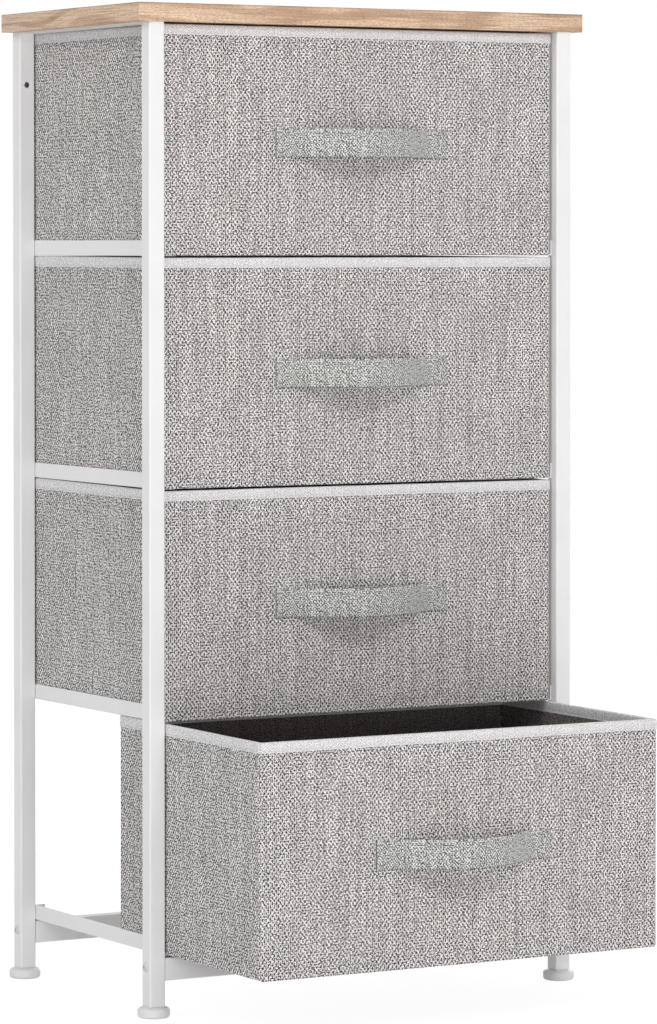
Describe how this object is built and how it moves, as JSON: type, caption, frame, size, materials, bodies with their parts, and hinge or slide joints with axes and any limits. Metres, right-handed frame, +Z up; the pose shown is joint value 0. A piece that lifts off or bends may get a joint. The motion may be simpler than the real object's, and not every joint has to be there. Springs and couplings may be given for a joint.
{
  "type": "fabric drawer dresser",
  "caption": "Tall narrow chest on a white steel frame with a wooden top board and a column of grey fabric drawers with strap handles, the lowest one pulled out.",
  "frame": {"origin": "on the floor, in the middle of the box round the whole dresser with its lowest drawer open", "axes": "+X to the right seen from the front, +Y to the back, +Z up along the longest side"},
  "size_m": [0.45, 0.4681, 0.87],
  "materials": {
    "white_steel": "white powder coat, satin",
    "white_plastic": "white moulded plastic, matt",
    "white_fasteners": "white painted bolt heads",
    "zinc_steel": "bright zinc plate",
    "oak_laminate": "light oak laminate, satin",
    "grey_linen_fabric": "coarse linen-look weave",
    "strap_fabric": "fine linen-look weave",
    "rim_binding": "light woven binding tape",
    "dark_lining": "dark non-woven lining",
    "fibreboard": "raw fibreboard"
  },
  "bodies": {
    "frame": {"leg_front_left": "white_steel", "leg_plug_front_left": "white_plastic", "leg_front_right": "white_steel", "leg_plug_front_right": "white_plastic", "leg_rear_left": "white_steel", "leg_plug_rear_left": "white_plastic", "leg_rear_right": "white_steel", "leg_plug_rear_right": "white_plastic", "crossbar_front": "white_steel", "crossbar_rear": "white_steel", "top_bar_left": "white_steel", "rail_left_1": "white_steel", "rail_left_2": "white_steel", "rail_left_3": "white_steel", "rail_left_4": "white_steel", "top_bar_right": "white_steel", "rail_right_1": "white_steel", "rail_right_2": "white_steel", "rail_right_3": "white_steel", "rail_right_4": "white_steel", "crossbar_bolts": "white_fasteners", "crossbar_nuts": "zinc_steel", "board_screws": "zinc_steel", "top_board": "oak_laminate"},
    "drawer_1": {"drawer_1_cover": "grey_linen_fabric", "drawer_1_front_board": "fibreboard", "drawer_1_wall_boards": "fibreboard", "drawer_1_base_board": "fibreboard", "drawer_1_lining": "dark_lining", "drawer_1_trim": "rim_binding", "drawer_1_handle": "strap_fabric"},
    "drawer_2": {"drawer_2_cover": "grey_linen_fabric", "drawer_2_front_board": "fibreboard", "drawer_2_wall_boards": "fibreboard", "drawer_2_base_board": "fibreboard", "drawer_2_lining": "dark_lining", "drawer_2_trim": "rim_binding", "drawer_2_handle": "strap_fabric"},
    "drawer_3": {"drawer_3_cover": "grey_linen_fabric", "drawer_3_front_board": "fibreboard", "drawer_3_wall_boards": "fibreboard", "drawer_3_base_board": "fibreboard", "drawer_3_lining": "dark_lining", "drawer_3_trim": "rim_binding", "drawer_3_handle": "strap_fabric"},
    "drawer_4": {"drawer_4_cover": "grey_linen_fabric", "drawer_4_front_board": "fibreboard", "drawer_4_wall_boards": "fibreboard", "drawer_4_base_board": "fibreboard", "drawer_4_lining": "dark_lining", "drawer_4_trim": "rim_binding", "drawer_4_handle": "strap_fabric"},
    "foot_front_left": {"foot_front_left": "white_plastic"},
    "foot_front_right": {"foot_front_right": "white_plastic"},
    "foot_rear_left": {"foot_rear_left": "white_plastic"},
    "foot_rear_right": {"foot_rear_right": "white_plastic"}
  },
  "joints": [
    {"name": "drawer_1_slide", "type": "slide", "parent": "frame", "child": "drawer_1", "axis": [0, -1, 0], "range_m": [0, 0.2]},
    {"name": "drawer_2_slide", "type": "slide", "parent": "frame", "child": "drawer_2", "axis": [0, -1, 0], "range_m": [0, 0.2]},
    {"name": "drawer_3_slide", "type": "slide", "parent": "frame", "child": "drawer_3", "axis": [0, -1, 0], "range_m": [0, 0.2]},
    {"name": "drawer_4_slide", "type": "slide", "parent": "frame", "child": "drawer_4", "axis": [0, -1, 0], "range_m": [-0.172, 0.028]},
    {"name": "foot_front_left_screw", "type": "hinge", "parent": "frame", "child": "foot_front_left", "pos_m": [-0.2065, -0.02995, 0], "axis": [0, 0, 1], "range_deg": [0, 1800]},
    {"name": "foot_front_right_screw", "type": "hinge", "parent": "frame", "child": "foot_front_right", "pos_m": [0.2065, -0.02995, 0], "axis": [0, 0, 1], "range_deg": [0, 1800]},
    {"name": "foot_rear_left_screw", "type": "hinge", "parent": "frame", "child": "foot_rear_left", "pos_m": [-0.2065, 0.22005, 0], "axis": [0, 0, 1], "range_deg": [0, 1800]},
    {"name": "foot_rear_right_screw", "type": "hinge", "parent": "frame", "child": "foot_rear_right", "pos_m": [0.2065, 0.22005, 0], "axis": [0, 0, 1], "range_deg": [0, 1800]}
  ]
}
